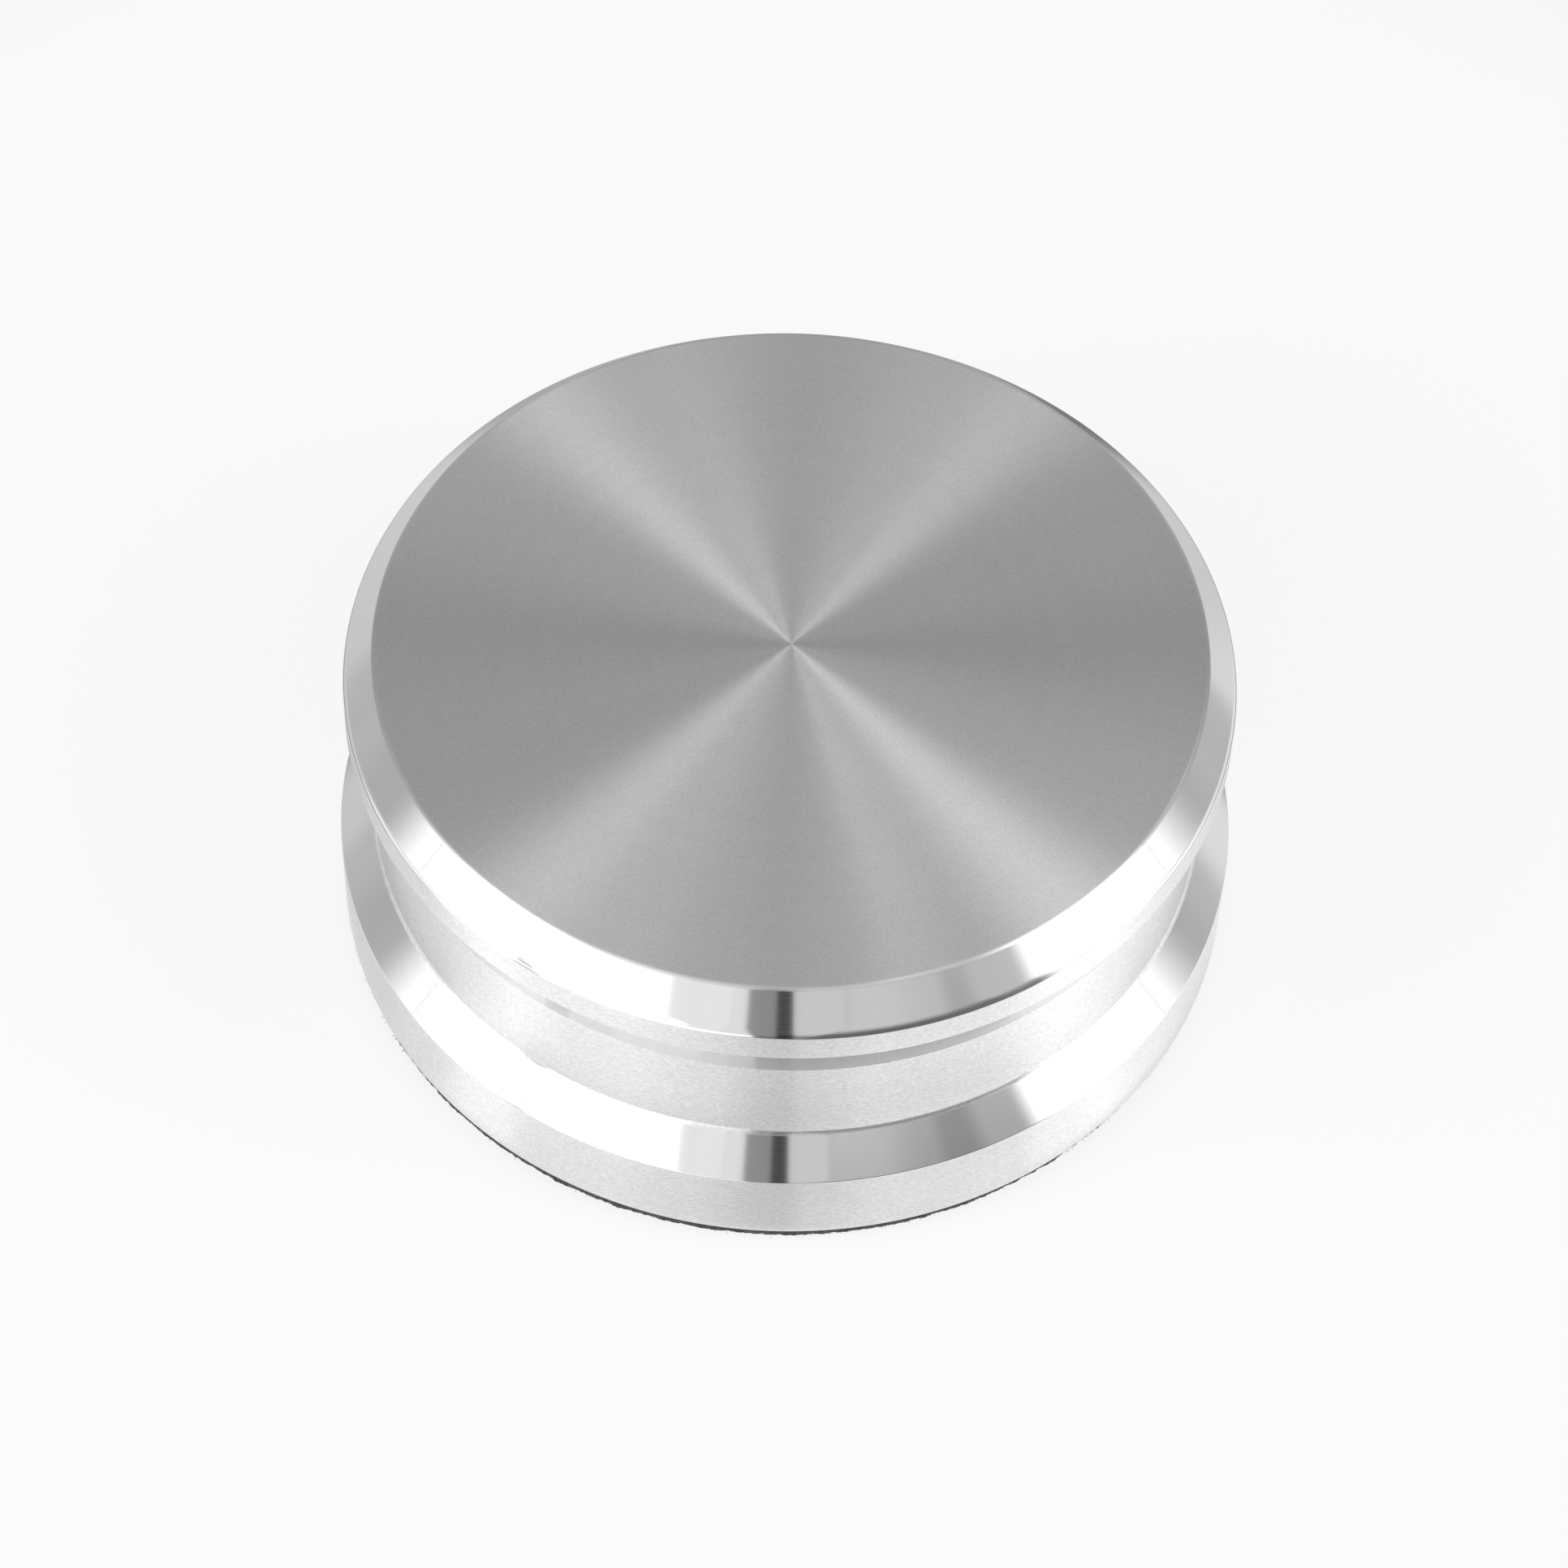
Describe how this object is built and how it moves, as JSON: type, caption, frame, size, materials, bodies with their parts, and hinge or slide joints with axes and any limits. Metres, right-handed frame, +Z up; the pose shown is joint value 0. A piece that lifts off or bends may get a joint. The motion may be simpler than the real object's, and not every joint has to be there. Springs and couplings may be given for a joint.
{
  "type": "record weight",
  "caption": "Spool-shaped turned aluminium record weight with bevelled rims, a waisted finger grip, a blind spindle bore and a thin felt base pad; it presses a record onto its platter.",
  "frame": {"origin": "centre of the pad's underside, on the turning axis", "axes": "+Z up along the turning axis, out of the top face; X and Y are any two directions across it"},
  "size_m": [0.08, 0.08, 0.0327],
  "materials": {
    "turned_aluminium": "satin turned faces with polished bevels",
    "pad_felt": "dark pressed felt with a cut edge"
  },
  "bodies": {
    "root": {"weight_body": "turned_aluminium", "base_pad": "pad_felt"}
  },
  "joints": []
}
